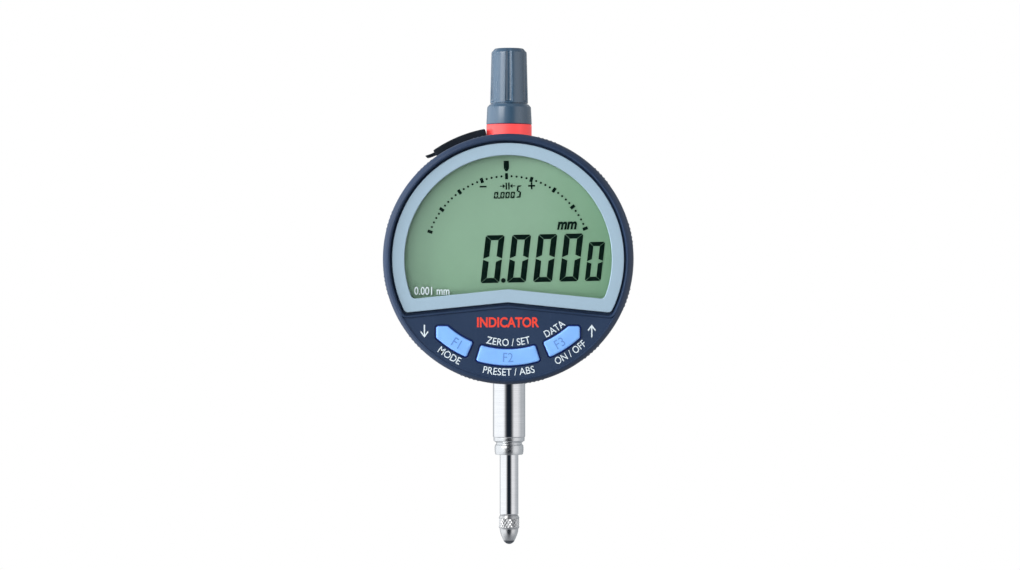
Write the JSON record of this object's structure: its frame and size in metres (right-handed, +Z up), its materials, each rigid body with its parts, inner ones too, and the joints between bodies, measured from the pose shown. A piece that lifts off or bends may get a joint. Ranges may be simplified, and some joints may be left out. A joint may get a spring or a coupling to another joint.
{
  "type": "dial indicator",
  "caption": "Round digital dial indicator: turning display with keys, sprung spindle with ball contact, plain clamping stem, lift-off cap and rear lug.",
  "frame": {"origin": "on the spindle axis, halfway down the plain stem, where a holder clamps it", "axes": "+Z up along the spindle, away from the contact point; +Y out of the back cover; the display faces -Y and +X is to its right"},
  "size_m": [0.061, 0.0369, 0.1227],
  "materials": {
    "navy_plastic": "fine moulded grain, satin",
    "silver_frame": "satin silver-blue",
    "clear_lens": "clear, polished",
    "lcd_glass": "grey-green reflective display with dark segments",
    "key_blue": "light blue, satin",
    "cap_grey": "blue-grey, satin",
    "signal_red": "red, satin",
    "black_rubber": "black, matt",
    "polished_steel": "ground and polished",
    "spring_steel": "bright wire and sheet",
    "carbide": "dark, polished",
    "bronze": "turned",
    "board_green": "solder mask over glass fibre",
    "chip_black": "moulded package",
    "amber_film": "polyimide film",
    "scale_glass": "glass with fine plated lines",
    "inner_plastic": "moulded, plain",
    "white_plastic": "moulded, plain"
  },
  "bodies": {
    "case": {"rear_case": "navy_plastic", "turn_seal": "black_rubber", "hub_retainer": "spring_steel", "flex_lead": "amber_film", "sensor_board": "board_green", "signal_chip": "chip_black", "guide_rail": "inner_plastic", "spring_anchor": "spring_steel", "return_spring": "spring_steel", "stem": "polished_steel", "stem_wiper": "black_rubber", "lower_bush": "bronze", "upper_bush": "bronze", "cap_ring": "signal_red", "back_cover": "navy_plastic", "case_seal": "black_rubber", "cover_screw_1": "spring_steel", "cover_screw_2": "spring_steel", "cover_screw_3": "spring_steel", "cover_screw_4": "spring_steel", "lug": "navy_plastic", "lug_screw_1": "spring_steel", "lug_screw_2": "spring_steel", "battery_holder": "inner_plastic", "battery_contact": "spring_steel", "battery": "polished_steel", "data_socket": "inner_plastic"},
    "display": {"display_housing": "navy_plastic", "window_frame": "silver_frame", "window_lens": "clear_lens", "lcd_panel": "lcd_glass", "light_guide": "white_plastic", "lcd_connector": "black_rubber", "main_board": "board_green", "controller_chip": "chip_black", "lead_socket": "white_plastic", "dome_left": "spring_steel", "dome_middle": "spring_steel", "dome_right": "spring_steel", "display_back": "navy_plastic", "display_screw_1": "spring_steel", "display_screw_2": "spring_steel", "display_screw_3": "spring_steel", "display_screw_4": "spring_steel"},
    "left_key": {"key_left": "key_blue"},
    "middle_key": {"key_middle": "key_blue"},
    "right_key": {"key_right": "key_blue"},
    "spindle": {"spindle": "polished_steel", "spindle_arm": "inner_plastic", "guide_pin": "polished_steel", "scale_bar": "scale_glass", "contact_point": "polished_steel", "contact_ball": "carbide"},
    "cap": {"spindle_cap": "cap_grey"},
    "port_flap": {"port_cover": "black_rubber"},
    "battery_lid": {"battery_cover": "inner_plastic"}
  },
  "joints": [
    {"name": "display_turn", "type": "hinge", "parent": "case", "child": "display", "pos_m": [0, -0.0115, 0.0372], "axis": [0, 1, 0], "range_deg": [-165, 165]},
    {"name": "spindle_slide", "type": "slide", "parent": "case", "child": "spindle", "axis": [0, 0, 1], "range_m": [0, 0.0127], "stiffness_N_per_m": 30, "springref_m": -0.03, "deforming": ["return_spring"]},
    {"name": "left_key_press", "type": "slide", "parent": "display", "child": "left_key", "axis": [0, 1, 0], "range_m": [0, 0.00045], "stiffness_N_per_m": 400, "springref_m": -0.001},
    {"name": "middle_key_press", "type": "slide", "parent": "display", "child": "middle_key", "axis": [0, 1, 0], "range_m": [0, 0.00045], "stiffness_N_per_m": 400, "springref_m": -0.001},
    {"name": "right_key_press", "type": "slide", "parent": "display", "child": "right_key", "axis": [0, 1, 0], "range_m": [0, 0.00045], "stiffness_N_per_m": 400, "springref_m": -0.001},
    {"name": "cap_lift", "type": "slide", "parent": "case", "child": "cap", "axis": [0, 0, 1], "range_m": [0, 0.022]},
    {"name": "port_cover_swing", "type": "hinge", "parent": "case", "child": "port_flap", "pos_m": [-0.0062, 0.0008, 0.0688], "axis": [0, 1, 0], "range_deg": [0, 95]},
    {"name": "battery_cover_turn", "type": "hinge", "parent": "case", "child": "battery_lid", "pos_m": [-0.018, 0.0086, 0.0312], "axis": [0, 1, 0], "range_deg": [0, 60]}
  ]
}
